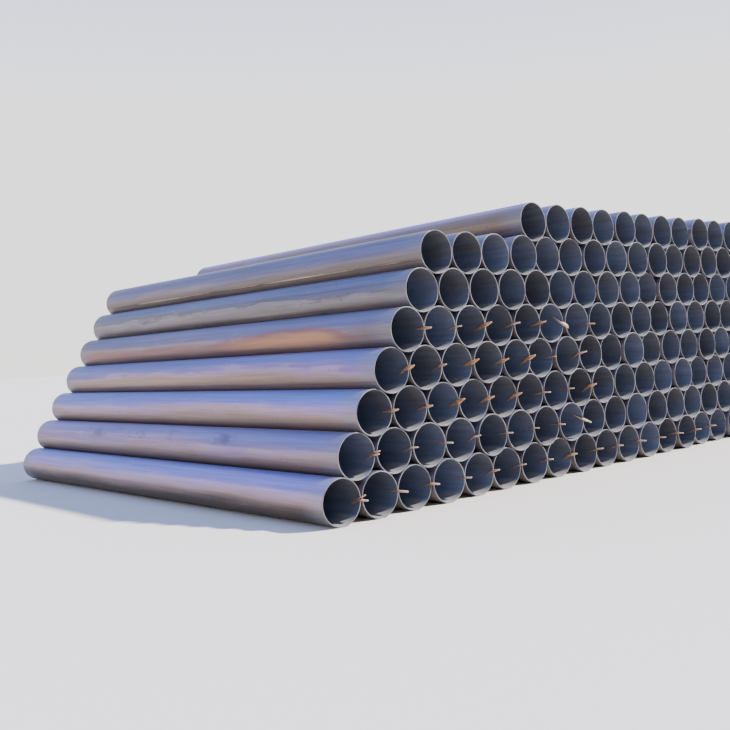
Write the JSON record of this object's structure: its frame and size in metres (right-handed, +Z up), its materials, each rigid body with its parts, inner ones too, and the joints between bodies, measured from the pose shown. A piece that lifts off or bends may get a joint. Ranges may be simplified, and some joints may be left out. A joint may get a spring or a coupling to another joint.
{
  "type": "stack of steel pipes",
  "caption": "Nested stack of large welded steel pipes lying on the ground, with wooden splints clipped between the pipe ends of its lower rows.",
  "frame": {"origin": "middle of the footprint at ground level, of the whole stack with its splints", "axes": "+X along the rows to the right as seen facing the front ends, -Y out of the front ends, +Z up"},
  "size_m": [8.0367, 6.1518, 2.6525],
  "materials": {
    "mill_steel": "bare hot-rolled mill finish, blue and brown heat tints",
    "splint_wood": "raw split wood"
  },
  "bodies": {
    "root": {"row_1": "mill_steel", "row_2": "mill_steel", "row_3": "mill_steel", "row_4": "mill_steel", "row_5": "mill_steel", "row_6": "mill_steel", "row_7": "mill_steel", "row_8": "mill_steel", "splints_row_1": "splint_wood", "splints_row_2": "splint_wood", "splints_row_3": "splint_wood", "splints_row_4": "splint_wood", "splints_row_5": "splint_wood"}
  },
  "joints": []
}
